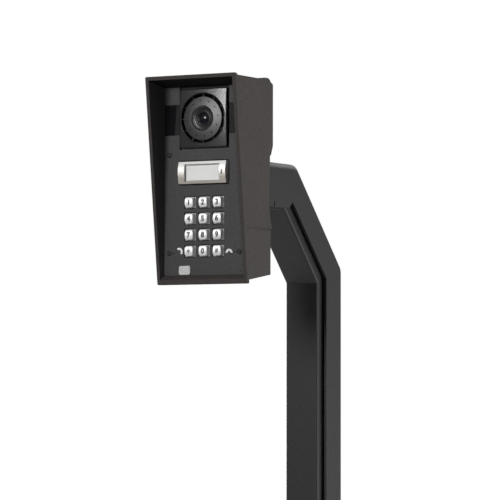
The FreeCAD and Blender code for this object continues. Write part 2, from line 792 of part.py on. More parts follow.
def speaker_cone():
    """Paper cone that hangs from the speaker's flange, clear of its basket."""
    rim_r = SPEAKER_BASKET_R - 1.0
    deep_y = SPEAKER_BASKET_Y - 3.0
    return turned(
        [
            (rim_r, CHAMBER_END_Y),
            (rim_r, CHAMBER_END_Y + CONE_SHEET),
            (rim_r - 2.5, CHAMBER_END_Y + CONE_SHEET),
            (MAGNET_R / 2, deep_y),
            (0, deep_y),
            (0, deep_y - CONE_SHEET),
            (MAGNET_R / 2, deep_y - CONE_SHEET),
            (rim_r - 2.5, CHAMBER_END_Y),
        ],
        0,
        RING_Z,
    )


def mic_boot():
    boot = rod(PINHOLE_X, SCREW_LOW_Z, PLATE_THICK, KEYPAD_BOARD_Y, MIC_BOOT_R)
    return boot.cut(rod(PINHOLE_X, SCREW_LOW_Z, 0, WIDE, MIC_R + 0.05))


def microphone():
    return rod(PINHOLE_X, SCREW_LOW_Z, MIC_Y, MIC_Y + MIC_LENGTH, MIC_R)


def status_lamp():
    """Light pipe behind the left pinhole, standing on the board."""
    return rod(-PINHOLE_X, SCREW_LOW_Z, PLATE_THICK + 0.2, KEYPAD_BOARD_Y, MIC_R)


# Call button


def call_button():
    bar = crown(BUTTON_EDGE_PROUD, BUTTON_CROWN, BUTTON_Z, BUTTON_HEIGHT, BUTTON_HALF, BUTTON_BACK_Y)

    def at_end(p):
        return p.y < -BUTTON_EDGE_PROUD + 0.01

    bar = fillet_where(bar, 0.5, at_end)
    flange = pad(
        0,
        BUTTON_Z,
        2 * (BUTTON_HALF + BUTTON_GAP + BUTTON_FLANGE),
        BUTTON_HEIGHT + 2 * (BUTTON_GAP + BUTTON_FLANGE),
        PLATE_THICK + MOVING_CLEARANCE,
        BUTTON_BACK_Y,
    )
    window = pad(0, LABEL_Z, 2 * LABEL_HALF, LABEL_HEIGHT, -WIDE, LABEL_FLOOR_Y)
    hollow = pad(
        0,
        BUTTON_Z,
        2 * (BUTTON_HALF - BUTTON_WALL),
        BUTTON_HEIGHT - 2 * BUTTON_WALL,
        LABEL_FLOOR_Y + BUTTON_FLOOR,
        WIDE,
    )
    latch_floor = BUTTON_FACE_Y + LATCH_DEPTH
    latch = pad(LATCH_X, LABEL_Z, 2 * LATCH_R, LATCH_HEIGHT, BUTTON_FACE_Y - 1, latch_floor, LATCH_R * 0.99)
    return fuse(bar, [flange]).cut([window, hollow, latch])


def label_card():
    width = 2 * (LABEL_HALF - LABEL_CLEARANCE)
    height = LABEL_HEIGHT - 2 * LABEL_CLEARANCE
    return pad(0, LABEL_Z, width, height, LABEL_FLOOR_Y - CARD_THICK, LABEL_FLOOR_Y)


def label_window():
    width = 2 * (LABEL_HALF - LABEL_CLEARANCE)
    height = LABEL_HEIGHT - 2 * LABEL_CLEARANCE
    back = LABEL_FLOOR_Y - CARD_THICK
    return pad(0, LABEL_Z, width, height, back - LABEL_GLASS, back)


# Keypad


def key(x, z):
    """Tapered pillow on a collar, hollow at the back, with a flange behind the plate."""
    half_foot = KEY_WIDTH / 2 - KEY_LEDGE
    rise_foot = KEY_HEIGHT / 2 - KEY_LEDGE
    half_top = KEY_TOP_WIDTH / 2
    rise_top = KEY_TOP_HEIGHT / 2
    foot = face_xz(rectangle(-half_foot, half_foot, -rise_foot, rise_foot, KEY_CORNER), KEY_COLLAR_Y)
    top_y = -KEY_EDGE_PROUD - KEY_CROWN - KEY_ROUND
    top = face_xz(rectangle(-half_top, half_top, -rise_top, rise_top, KEY_TOP_CORNER), top_y)
    flanks = Part.makeLoft([foot.OuterWire, top.OuterWire], True, True)
    face = crown(KEY_EDGE_PROUD, KEY_CROWN, 0, KEY_HEIGHT, KEY_WIDTH, KEY_COLLAR_Y)
    pillow = face.common(flanks)

    def on_crown(p):
        return p.y < -KEY_EDGE_PROUD + 0.01

    pillow = fillet_where(pillow, KEY_ROUND, on_crown)
    collar = pad(0, 0, KEY_WIDTH, KEY_HEIGHT, KEY_COLLAR_Y, KEY_BACK_Y, KEY_CORNER)
    flange = pad(
        0,
        0,
        KEY_WIDTH + 2 * KEY_FLANGE,
        KEY_HEIGHT + 2 * KEY_FLANGE,
        PLATE_THICK + MOVING_CLEARANCE,
        KEY_BACK_Y,
        KEY_CORNER,
    )
    solid = fuse(pillow, [collar, flange]).cut(rod(0, 0, KEY_POCKET_Y, WIDE, KEY_POCKET_R))
    solid.translate(Vec(x, 0, z))
    return solid


def keypad_mat():
    """Rubber sheet with a dome in each key's hollow and two behind the call button."""
    top = BUTTON_Z + BUTTON_HEIGHT / 2
    sheet = prism_xz(rectangle(-MAT_HALF, MAT_HALF, MAT_EDGE_Z, top, KEY_CORNER), MAT_Y, KEYPAD_BOARD_Y)
    domes = []
    key_tip = KEY_POCKET_Y + KEY_TRAVEL + MOVING_CLEARANCE
    places = [(x, z, key_tip) for _, x, z in key_places()]
    button_tip = LABEL_FLOOR_Y + BUTTON_FLOOR + BUTTON_TRAVEL + MOVING_CLEARANCE
    places += [(side * BUTTON_DOME_X, BUTTON_Z, button_tip) for side in (-1, 1)]
    for x, z, tip in places:
        outline = [(0, MAT_Y + 0.5), (DOME_R, MAT_Y + 0.5), (DOME_R, MAT_Y - 0.5)]
        outline += [(DOME_R - DOME_LEAD, tip), (0, tip)]
        domes.append(turned(outline, x, z))
    return fuse(sheet, domes)


def board_outline():
    return rectangle(-BOARD_HALF, BOARD_HALF, BOARD_FOOT_Z, BOARD_TOP_Z)


def drill_board(board):
    return board.cut([rod(x, z, 0, WIDE, BOARD_SCREW_R + SCREW_CLEARANCE) for x, z in PILLAR_PLACES])


def keypad_board():
    return drill_board(prism_xz(board_outline(), KEYPAD_BOARD_Y, KEYPAD_BOARD_BACK_Y))


def main_board():
    board = prism_xz(board_outline(), MAIN_BOARD_Y, MAIN_BOARD_BACK_Y)
    middle = (BOARD_FOOT_Z + BOARD_TOP_Z) / 2
    parts = [
        pad(-10.0, middle + 12.0, 22.0, 22.0, MAIN_BOARD_BACK_Y, MAIN_BOARD_BACK_Y + 2.0),
        pad(16.0, middle + 14.0, 12.0, 18.0, MAIN_BOARD_BACK_Y, MAIN_BOARD_BACK_Y + 1.6),
        pad(14.0, middle - 14.0, 16.0, 14.0, MAIN_BOARD_BACK_Y, MAIN_BOARD_BACK_Y + 9.0),
        rod(-16.0, middle - 12.0, MAIN_BOARD_BACK_Y, MAIN_BOARD_BACK_Y + 12.0, 5.0),
    ]
    return drill_board(fuse(board, parts))


def board_spacers():
    spacers = []
    for x, z in PILLAR_PLACES:
        tube = rod(x, z, KEYPAD_BOARD_BACK_Y, MAIN_BOARD_Y, SPACER_R)
        spacers.append(tube.cut(rod(x, z, 0, WIDE, BOARD_SCREW_R + SCREW_CLEARANCE)))
    return Part.makeCompound(spacers)


def board_screws():
    screws = []
    for x, z in PILLAR_PLACES:
        shank = rod(x, z, PLATE_THICK + 1, MAIN_BOARD_BACK_Y + BOARD_HEAD, BOARD_SCREW_R)
        head = rod(x, z, MAIN_BOARD_BACK_Y, MAIN_BOARD_BACK_Y + BOARD_HEAD, BOARD_HEAD_R)
        screws.append(fuse(shank, [head]))
    return Part.makeCompound(screws)


def terminal_block():
    back = MAIN_BOARD_BACK_Y + TERMINAL_DEPTH
    top = TERMINAL_FOOT_Z + TERMINAL_HEIGHT
    body = box(-TERMINAL_HALF, TERMINAL_HALF, MAIN_BOARD_BACK_Y, back, TERMINAL_FOOT_Z, top)
    pitch = 2 * TERMINAL_HALF / TERMINAL_WAYS
    wells = []
    for index in range(TERMINAL_WAYS):
        x = -TERMINAL_HALF + pitch * (index + 0.5)
        wells.append(rod(x, top - TERMINAL_HEIGHT / 3, back - 3, back + 1, TERMINAL_HOLE_R))
    return body.cut(wells)


# Flange, bolts and cable inlet


def head_flange():
    outline = rectangle(-FLANGE_HALF, FLANGE_HALF, FLANGE_FOOT_Z, HEAD_DROP, FLANGE_CORNER)
    plate = prism_xz(outline, BACK_Y, FLANGE_BACK_Y)
    holes = [rod(x, z, 0, WIDE, BOLT_R + SCREW_CLEARANCE) for x, z in BOLT_PLACES]
    holes.append(rod(0, INLET_Z, 0, WIDE, FLANGE_INLET_R))
    return plate.cut(holes)


def flange_bolts():
    bolts = []
    for x, z in BOLT_PLACES:
        head = rod(x, z, INNER_BACK_Y - BOLT_HEAD, INNER_BACK_Y, BOLT_HEAD_R)
        head = head.cut(rod(x, z, 0, INNER_BACK_Y - BOLT_HEAD / 2, BOLT_R * 0.8))
        shank = rod(x, z, INNER_BACK_Y - 0.1, FLANGE_BACK_Y, BOLT_R)
        bolts.append(fuse(head, [shank]))
    return Part.makeCompound(bolts)


def cable_grommet():
    """Rubber plug with a thin skin that a cable is pushed through."""
    neck_r = INLET_R - GROMMET_SQUEEZE
    inside = INNER_BACK_Y
    outside = BACK_Y
    return turned(
        [
            (0, inside - GROMMET_SKIN),
            (neck_r - 3, inside - GROMMET_SKIN),
            (neck_r - 2, inside - GROMMET_LIP),
            (neck_r + GROMMET_COLLAR, inside - GROMMET_LIP),
            (neck_r + GROMMET_COLLAR, inside),
            (neck_r, inside),
            (neck_r, outside),
            (neck_r + GROMMET_COLLAR, outside),
            (neck_r, outside + GROMMET_LIP),
            (neck_r - 2, outside + GROMMET_LIP),
            (neck_r - 3, inside),
            (0, inside),
        ],
        0,
        INLET_Z,
    )


# Post: folded channel, cover, brackets and base


def outer_path():
    """Corner points (y, z) of the channel's outer face, from the base to the flange."""
    back = (CHANNEL_DEPTH + COVER_PROUD) / 2
    return [
        (back, BASE_THICK),
        (back, POST_HEIGHT - NECK_DROP),
        (back - NECK_RUN, POST_HEIGHT),
        (HEAD_Y + FLANGE_BACK_Y, POST_HEIGHT),
    ]


def offset_path(path, depth, slant_depth=None):
    """The path moved inwards by depth, its slanted length by slant_depth."""
    depths = (depth, depth if slant_depth is None else slant_depth, depth)
    lines = []
    for i in range(3):
        start = Vec(0, *path[i])
        along = (Vec(0, *path[i + 1]) - start).normalize()
        normal = Vec(0, -along.z, along.y)
        lines.append((start + normal * depths[i], along, normal))
    moved = [lines[0][0]]
    for (start, along, _), (other, _, normal) in zip(lines, lines[1:]):
        moved.append(start + along * ((other - start).dot(normal) / along.dot(normal)))
    moved.append(Vec(0, *path[3]) + lines[2][2] * depths[2])
    return [(point.y, point.z) for point in moved]


def cover_path():
    """Corner points (y, z) of the cover's face, which follows the channel's."""
    return offset_path(outer_path(), CHANNEL_DEPTH + COVER_PROUD, COVER_SLANT_DEPTH)


def bent_bar(near, far, half, turn, bend):
    """Bar between two paths; the long edges of the near one are rounded."""
    outline = [(*near[0], 0), (*near[1], turn), (*near[2], turn), (*near[3], 0)]
    outline += [(*point, 0) for point in reversed(far)]
    bar = prism_yz(outline, half)
    edges = []
    for edge in bar.Edges:
        middle = edge.valueAt((edge.FirstParameter + edge.LastParameter) / 2)
        line = Part.makePolygon([Vec(middle.x, *point) for point in near])
        if Part.Vertex(middle).distToShape(line)[0] < bend and abs(abs(middle.x) - half) < 0.01:
            edges.append(edge)
    return bar.makeFillet(bend, edges)


def post_channel():
    path = outer_path()
    half = CHANNEL_WIDTH / 2
    sheet = CHANNEL_SHEET
    inner = offset_path(path, CHANNEL_DEPTH, CHANNEL_SLANT_DEPTH)
    outside = bent_bar(path, inner, half, CHANNEL_TURN, CHANNEL_BEND)
    past = offset_path(path, CHANNEL_DEPTH + sheet, CHANNEL_SLANT_DEPTH + sheet)
    near = offset_path(path, sheet)
    inside = bent_bar(near, past, half - sheet, CHANNEL_TURN - sheet, CHANNEL_BEND - sheet)
    deep_z = POST_HEIGHT - HEAD_CHANNEL_DEPTH
    cut_z = POST_HEIGHT - HEAD_CUT_DROP
    (slant_y, slant_z), (corner_y, corner_z), (end_y, _) = inner[1:]
    cut_y = corner_y + (slant_y - corner_y) * (corner_z - cut_z) / (corner_z - slant_z)
    deep = [
        (end_y, deep_z, 0),
        (cut_y - HEAD_CUT_RUN, deep_z, 0),
        (cut_y, cut_z, 0),
        (corner_y, corner_z, 0),
        (corner_y, corner_z + sheet, 0),
        (end_y, corner_z + sheet, 0),
    ]
    between = box(sheet - half, half - sheet, -WIDE, WIDE, 0, 2 * POST_HEIGHT)
    sides = prism_yz(deep, half).cut(between)
    relief_y = cut_y - HEAD_CUT_RUN - RELIEF_SETBACK
    relief = box(-half - 1, half + 1, relief_y, relief_y + RELIEF_WIDTH, deep_z - 1, deep_z + RELIEF_HEIGHT)
    return fuse(outside.cut(inside), sides.Solids).cut(relief)


def cover_width():
    return CHANNEL_WIDTH - 2 * (CHANNEL_SHEET + COVER_GAP)


def post_cover():
    path = cover_path()
    half = cover_width() / 2
    sheet = COVER_SHEET
    outside = bent_bar(path, offset_path(path, -COVER_LEG), half, COVER_TURN, COVER_BEND)
    past = offset_path(path, -COVER_LEG - sheet)
    inside = bent_bar(offset_path(path, -sheet), past, half - sheet, COVER_TURN + sheet, COVER_BEND - sheet)
    return outside.cut(inside)


def cover_bracket(z):
    """Strip welded between the channel's sides, which the cover's legs rest on."""
    half = CHANNEL_WIDTH / 2 - CHANNEL_SHEET
    y0 = cover_path()[0][0] + COVER_LEG
    return box(-half, half, y0, y0 + BRACKET_SHEET, z - BRACKET_LENGTH / 2, z + BRACKET_LENGTH / 2)


def base_plate():
    half = BASE_SIZE / 2
    plate = prism_xy(rectangle(-half, half, -half, half, BASE_CORNER), 0, BASE_THICK)

    def on_top(p):
        return p.z > BASE_THICK - 0.01

    edges = [e for e in plate.Edges if all(on_top(v.Point) for v in e.Vertexes)]
    plate = plate.makeChamfer(BASE_EDGE, edges)
    duct_outline = rectangle(-DUCT_HALF_WIDTH, DUCT_HALF_WIDTH, -DUCT_FRONT, DUCT_BACK, DUCT_CORNER)
    duct = prism_xy(duct_outline, -1, BASE_THICK + 1)
    holes = [duct]
    for x in (-ANCHOR_SPACING / 2, ANCHOR_SPACING / 2):
        for y in (-ANCHOR_SPACING / 2, ANCHOR_SPACING / 2):
            holes.append(Part.makeCylinder(ANCHOR_HOLE_R, BASE_THICK + 2, Vec(x, y, -1)))
    return plate.cut(holes)


def station_pieces():
    """Every piece that is drawn in the station's own frame."""
    pieces = {
        "housing": housing(),
        "front_plate": front_plate(),
        "panel_gasket": panel_gasket(),
        "smoked_window_left": smoked_window(-1),
        "smoked_window_right": smoked_window(1),
        "panel_screws": panel_screws(),
        "badge_plate": badge_plate(),
        "camera_block": camera_block(),
        "camera_ring": camera_ring(),
        "lens_barrel": lens_barrel(),
        "lens_glass": lens_glass(),
        "camera_board": camera_board(),
        "loudspeaker": loudspeaker(),
        "speaker_cone": speaker_cone(),
        "mic_boot": mic_boot(),
        "microphone": microphone(),
        "status_lamp": status_lamp(),
        "call_button": call_button(),
        "label_card": label_card(),
        "label_window": label_window(),
        "keypad_mat": keypad_mat(),
        "keypad_board": keypad_board(),
        "main_board": main_board(),
        "board_spacers": board_spacers(),
        "board_screws": board_screws(),
        "terminal_block": terminal_block(),
        "head_flange": head_flange(),
        "flange_bolts": flange_bolts(),
        "cable_grommet": cable_grommet(),
    }
    for name, x, z in key_places():
        pieces["key_" + name] = key(x, z)
    return pieces


def post_pieces():
    """Every piece that is drawn in the row frame."""
    pieces = {
        "post_channel": post_channel(),
        "post_cover": post_cover(),
        "base_plate": base_plate(),
    }
    highest = POST_HEIGHT - NECK_DROP - BRACKET_HIGH_DROP
    rise = (highest - BRACKET_LOW_Z) / (BRACKET_COUNT - 1)
    for index in range(BRACKET_COUNT):
        pieces["cover_bracket_" + str(index + 1)] = cover_bracket(BRACKET_LOW_Z + index * rise)
    return pieces


def main():
    os.makedirs("parts", exist_ok=True)
    to_neck = Vec(0, HEAD_Y, HEAD_Z)
    for name, shape in station_pieces().items():
        shape.translate(to_neck)
        shape.exportStep("parts/" + name + ".step")
    for name, shape in post_pieces().items():
        shape.exportStep("parts/" + name + ".step")


main()
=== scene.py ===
"""Gate intercom post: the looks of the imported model, in metres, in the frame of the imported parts."""

import math

import bpy
from bpy.props import FloatProperty, FloatVectorProperty, PointerProperty
from mathutils import Matrix, Vector


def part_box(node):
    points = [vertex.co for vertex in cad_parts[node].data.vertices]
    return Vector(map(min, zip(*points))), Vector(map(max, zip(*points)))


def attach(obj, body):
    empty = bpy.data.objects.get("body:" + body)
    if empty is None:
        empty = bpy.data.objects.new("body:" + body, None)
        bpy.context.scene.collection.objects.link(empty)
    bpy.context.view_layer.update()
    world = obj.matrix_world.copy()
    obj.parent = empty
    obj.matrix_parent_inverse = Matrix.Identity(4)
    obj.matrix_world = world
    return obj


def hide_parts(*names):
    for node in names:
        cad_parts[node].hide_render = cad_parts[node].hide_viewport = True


bl_info = {
    "name": "Gate intercom post",
    "version": (1, 0, 0),
    "blender": (4, 5, 0),
    "location": "View3D > Sidebar > Gate post",
    "description": "Finishes, printed marks and stage of a gooseneck gate intercom post",
    "category": "Object",
}

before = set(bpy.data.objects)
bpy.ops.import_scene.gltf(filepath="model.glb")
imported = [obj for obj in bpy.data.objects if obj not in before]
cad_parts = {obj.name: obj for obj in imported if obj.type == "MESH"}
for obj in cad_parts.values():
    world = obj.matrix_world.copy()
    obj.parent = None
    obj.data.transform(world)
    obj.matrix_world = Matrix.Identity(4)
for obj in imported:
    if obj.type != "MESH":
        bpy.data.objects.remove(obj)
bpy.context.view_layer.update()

STATION_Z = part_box("housing")[0].z      # foot of the station's rim
PLATE_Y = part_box("front_plate")[0].y    # front face of the flat panel
AHEAD = Vector((0, 1, 0))               # into the station, from its front

KEY_NAMES = ("1", "2", "3", "4", "5", "6", "7", "8", "9", "star", "0", "hash")
KEYS = tuple("key_" + name for name in KEY_NAMES)
BRACKETS = tuple("cover_bracket_%d" % number for number in (1, 2, 3))

# Printed marks
LEGENDS = {"star": "*", "hash": "#"}
LEGEND_SHARE = {"star": 1.5, "hash": 0.8}
LEGEND_BOLDNESS = {"star": 0.4, "hash": 0.7}
CAP_SHARE = 0.73            # height of a digit for a letter size of 1
CUTS = 8                    # level cuts on each side of a legend's middle, so that it bends with the key
CUTS_PER_HEIGHT = 14        # how many of them go into the height of a digit
MARK_GAP = 0.004            # a mark starts this far before its surface

# Name, place across and above the station's foot, and turn in degrees of each handset sign
SIGNS = (("sign_lift", -0.0293, 0.0356, 48.0), ("sign_hang_up", 0.0301, 0.0345, 0.0))

# Half of a lying handset's outline, from the middle of its back to the middle of its inside,
# as shares of its width
HANDSET = (
    (0.0, 0.27), (0.17, 0.24), (0.33, 0.15), (0.46, 0.0), (0.52, -0.15), (0.46, -0.25), (0.32, -0.25),
    (0.22, -0.15), (0.12, -0.05), (0.0, -0.01),
)

# Outlines of the turned pieces, as radius and depth behind the rim's front, in metres
BARREL_OUTLINE = (
    (0.0120, 0.0), (0.0110, 0.0), (0.0110, 0.0011), (0.0095, 0.0011), (0.0095, 0.0021), (0.0085, 0.0021),
    (0.0083, 0.0010), (0.0071, 0.0010), (0.0067, 0.0026), (0.0061, 0.0026), (0.0061, 0.0056), (0.0, 0.0056),
    (0.0, 0.0164), (0.0120, 0.0164),
)
BARREL_ROUNDING = 0.00028
LIP_OUTLINE = ((0.01325, 0.0007), (0.01345, -0.00005), (0.0139, -0.0001), (0.0142, 0.0003))
LIP_ROUNDING = 0.00015
LIP_SEAT_RADIUS = LIP_OUTLINE[2][0]     # where the lip's place on the camera ring is measured
LIP_SIGHT = 0.05            # the ray that measures it starts this far before the rim
TURNED_SIDES = 96
AXIS_RADIUS = 0.00001       # stands for a radius of nothing while a piece is drawn

# Search for the sill under the front plate
SILL_START = 0.01           # under the plate's foot
SILL_STEP = 0.0001
SILL_SIGHT = 0.1            # the rays start this far before the plate's face

# Grain of the coats
PEEL_SCALE = 0.3            # the orange-peel's scale against the fine grain's
CLOUD_NOISE = (0.3, 0.7)    # noise at the darkest and at the lightest shade of the clouds
SPECK_NOISE = (0.35, 0.65)  # the same for the fine grain
SPECK_SHADE = (0.82, 1.18)

# Painted shade and other changes over single finishes: pairs are where a change starts and where it is full
LEDGE_SHADE = (0.0004, 0.0009)       # behind the plate's face: painted shade, the plating coloured grey
BARE_START = (0.0014, 0.0018)       # and ends, with bare moulding behind it
BUTTON_SHADE_START = 0.003                  # below the call button's top, painted shade on its plating starts
BUTTON_SHADE_FULL = 0.005                 # and is full this far below its middle
# painted shade inside the hood: on the inner walls, and darkest on the roof before the front plate
HOOD_INWARD = (-0.010, -0.030)      # X times the normal's X, on faces that look to the middle
HOOD_ROOF_FACING = (-0.3, -0.7)     # the normal's Z
HOOD_ROOF_RISE = (0.15, 0.16)       # above the station's foot
HOOD_DEPTH = (0.003, 0.001)         # behind the plate's face
NECK_ROLL = 0.0085                  # the neck's sides roll over from this far under its top
NECK_FALL = 0.0028                  # and fall back by this
# painted shadow of the gap between the front plate's foot and the sill
JOINT_SHADOW = (0.0021, 0.0014)            # above the sill
# painted shadow of the window's frame along the card's top; thin grey lines along its other edges
CARD_TOP_SHADOW = (0.0017, 0.0012)    # from the card's edges inwards
CARD_FOOT_LINE = (0.0011, 0.0008)
CARD_LEFT_LINE = (0.0013, 0.0010)
CARD_RIGHT_LINE = (0.0011, 0.0008)

BARE_MOULDING = (0.012, 0.012, 0.013)
# painted shade of the plating in its recess behind the plate's face
LEDGE_SHADE_GREY = (0.30, 0.30, 0.30)
# painted shade of the hood's inner walls; the next is the deepest painted shade, on the hood's roof and the
# gap at the plate's foot
INNER_WALL_SHADE = (0.034, 0.031, 0.034)
DEEP_SHADE = (0.004, 0.004, 0.004)
# grey of the painted shadow along the card's top and of its thin edge lines
CARD_SHADOW_AND_LINE_GREY = (0.44, 0.425, 0.40)
CLEAR_TINT = (0.97, 0.98, 0.98)
SMOKED_BLACK = (0.006, 0.006, 0.007)
LENS_BLACK = (0.006, 0.006, 0.010)
RING_BLACK = (0.010, 0.0095, 0.010)
ZINC = (0.45, 0.45, 0.46)
KEY_PLATING = (0.77, 0.765, 0.758)
BUTTON_PLATING = (0.93, 0.93, 0.925)
# painted shade and painted reflection of a darker ground, at the call button's foot
BUTTON_FOOT_SHADE = (0.53, 0.49, 0.44)

# Name, colour, values and nodes of each plain finish. The values are its roughness, the depth of its grain,
# its cloudiness and, where it isn't the powder coat's, the size of its grain.
PLAIN_COATS = (
    ("lens_barrel_black", (0.010, 0.010, 0.011), (0.26, 0.00001, 0.02, 0.0004), ("lens_barrel",)),
    ("dark_screw_steel", (0.012, 0.012, 0.013), (0.35, 0.00001, 0.05), ("panel_screws",)),
    ("pale_plate_coat", (0.57, 0.567, 0.56), (0.45, 0.00001, 0.03, 0.0004), ("badge_plate",)),
    ("soft_rubber", (0.03, 0.03, 0.03), (0.75, 0.00003, 0.04, 0.0006),
     ("panel_gasket", "keypad_mat", "cable_grommet", "mic_boot")),
    ("board_green", (0.02, 0.13, 0.06), (0.35, 0.00001, 0.05),
     ("keypad_board", "main_board", "camera_board")),
    ("terminal_green", (0.03, 0.2, 0.07), (0.4, 0.00001, 0.03), ("terminal_block",)),
    ("speaker_paper", (0.03, 0.03, 0.03), (0.8, 0.00006, 0.05), ("speaker_cone",)),
    ("speaker_black", (0.010, 0.010, 0.011), (0.6, 0.00001, 0.05), ("loudspeaker",)),
)

# Floor: distances over which its light changes, and its levels
POOL_MIDDLE = (-0.6, -0.1, 0.0)
POOL_FADE = (0.7, 2.3)      # in reflections: bright round the pool's middle, dim far from it
GLOW_FADE = (0.5, 2.4)      # before the camera: no light of its own near the post, where its shadow lies
GLOW_NEAR = 0.06
LIT_FLOOR = (0.92, 0.92, 0.92)

# Name, direction from the station, distance, width, height and power of each soft lamp
LAMPS = (
    ("front_softbox", (-0.26, -1.0, 0.27), 2.4, 0.75, 0.75, 32.5),
    ("fill_softbox", (0.70, -1.0, 0.12), 2.4, 0.5, 0.5, 6.0),
    ("side_softbox", (1.0, 0.42, -0.28), 1.9, 2.2, 1.3, 32.0),
    ("top_softbox", (0.5, 0.45, 1.0), 2.4, 1.0, 1.0, 27.0),
    ("left_softbox", (-1.0, 0.3, -0.1), 1.9, 0.8, 0.8, 8.0),
    ("back_softbox", (-0.1, 1.0, 0.5), 2.2, 0.8, 0.8, 5.0),
)


# Values that a user would change


def colour(name, description, default):
    return FloatVectorProperty(
        name=name, description=description, subtype="COLOR", size=3, min=0.0, max=1.0, default=default
    )


def length(name, description, default):
    return FloatProperty(name=name, description=description, unit="LENGTH", default=default, min=0.0)


def share(name, description, default):
    return FloatProperty(
        name=name, description=description, subtype="FACTOR", default=default, min=0.0, max=1.0
    )


def angle(name, description, degrees):
    return FloatProperty(name=name, description=description, subtype="ANGLE", default=math.radians(degrees))


class GATEPOST_finishes(bpy.types.PropertyGroup):
    housing_colour: colour("Housing", "Powder coat of the cast housing", (0.047, 0.042, 0.0395))
    plate_colour: colour("Front plate", "Coat of the front plate", (0.0285, 0.0275, 0.0295))
    post_colour: colour("Post", "Powder coat of the folded post", (0.0085, 0.0082, 0.0087))
    block_colour: colour("Camera block", "Moulded plastic round the camera", (0.0055, 0.0052, 0.0055))
    legend_colour: colour("Key legends", "Print on the keys", (0.07, 0.07, 0.075))
    sign_colour: colour("Handset signs", "White print on the front plate", (0.80, 0.80, 0.80))
    card_colour: colour("Label card", "Paper behind the call button's window", (0.80, 0.797, 0.785))
    coat_grain: length("Coat grain", "Size of the powder coat's grain", 0.0016)
    chrome_roughness: share("Chrome roughness", "Roughness of the keys and the call button", 0.38)
    chrome_metal: share("Chrome share", "How mirror-like the keys and the call button are", 0.45)


class GATEPOST_print(bpy.types.PropertyGroup):
    legend_height: length("Legend height", "Height of the digits on the keys", 0.0054)
    legend_weight: length("Legend weight", "How much the digits' strokes are thickened", 0.00035)
    sign_width: length("Sign width", "Width of a handset sign", 0.0079)
    print_thickness: length("Print thickness", "Thickness of the printed marks", 0.00006)


class GATEPOST_stage(bpy.types.PropertyGroup):
    view_turn: angle("View turn", "How far the camera stands to the right of the front", 29.756)
    view_rise: angle("View rise", "How far the camera looks up", 2.712)
    view_roll: angle("View roll", "Turn of the picture", -0.072)
    view_distance: length("View distance", "From the camera to the station", 3.6405)
    lens: FloatProperty(name="Lens", description="Focal length in millimetres", default=251.04, min=1.0)
    aim: FloatVectorProperty(
        name="Aim", description="Point in the middle of the picture", subtype="XYZ", size=3,
        default=(0.03987, -0.20786, 1.12219),
    )
    floor_colour: colour("Floor", "Pale studio floor, as it lights the post from below", (0.5, 0.5, 0.5))
    sky_strength: FloatProperty(name="Room light", description="Light from all sides", default=0.06, min=0.0)
    sky_gloss: share("Room in reflections", "How bright the room shows in a reflection", 0.42)
    floor_gloss: share(
        "Floor in reflections", "How bright the floor far from the post shows in a reflection", 0.20
    )


def settings():
    scene = bpy.context.scene
    return scene.gate_finishes, scene.gate_print, scene.gate_stage


# Node helpers


def feed(tree, socket, value):
    """Links the socket to the value if that is a socket too, and otherwise sets it."""
    if isinstance(value, bpy.types.NodeSocket):
        tree.links.new(value, socket)
    else:
        socket.default_value = value


def add(tree, kind, **values):
    """A node with its settings and inputs set by name."""
    made = tree.nodes.new(kind)
    for name, value in values.items():
        if hasattr(made, name) and name not in ("inputs", "color"):
            setattr(made, name, value)
        else:
            feed(tree, made.inputs[name.replace("_", " ")], value)
    return made


def combined(tree, kind, *values, **setup):
    """The result of a node whose first inputs take the values in turn."""
    made = add(tree, kind, **setup)
    for socket, value in zip(made.inputs, values):
        feed(tree, socket, value)
    return made.outputs[0]


def reckoned(tree, operation, first, second):
    return combined(tree, "ShaderNodeMath", first, second, operation=operation)


def mapped(tree, value, span, low=0.0, high=1.0, **setup):
    """Runs from low to high while the value runs over the span."""
    made = add(tree, "ShaderNodeMapRange", Value=value, **setup)
    for label, limit in zip(("From Min", "From Max", "To Min", "To Max"), (*span, low, high)):
        feed(tree, made.inputs[label], limit)
    return made.outputs[0]


def blended(tree, mask, first, second):
    """Colour that is the first where the mask is 0 and the second where it is 1."""
    made = add(tree, "ShaderNodeMix", data_type="RGBA")
    for number, value in ((0, mask), (6, first), (7, second)):
        feed(tree, made.inputs[number], value)
    return made.outputs[2]


def over(level, span):
    """The span moved up by the level."""
    return tuple(level + value for value in span)


def under(level, span):
    """The span measured down from the level."""
    return tuple(level - value for value in span)


def noise(tree, **values):
    return add(tree, "ShaderNodeTexNoise", **values).outputs["Fac"]


def surface_place(tree, output="Object"):
    """X, Y and Z of a place on the surface, or of its normal."""
    place = add(tree, "ShaderNodeTexCoord")
    return add(tree, "ShaderNodeSeparateXYZ", Vector=place.outputs[output]).outputs


def rgba(value):
    return (*value, 1.0)


def group_tree(name, inputs, outputs):
    tree = bpy.data.node_groups.new(name, "ShaderNodeTree")
    for label, kind in inputs:
        tree.interface.new_socket(label, in_out="INPUT", socket_type="NodeSocket" + kind)
    for label, kind in outputs:
        tree.interface.new_socket(label, in_out="OUTPUT", socket_type="NodeSocket" + kind)
    return tree, tree.nodes.new("NodeGroupInput").outputs, tree.nodes.new("NodeGroupOutput").inputs


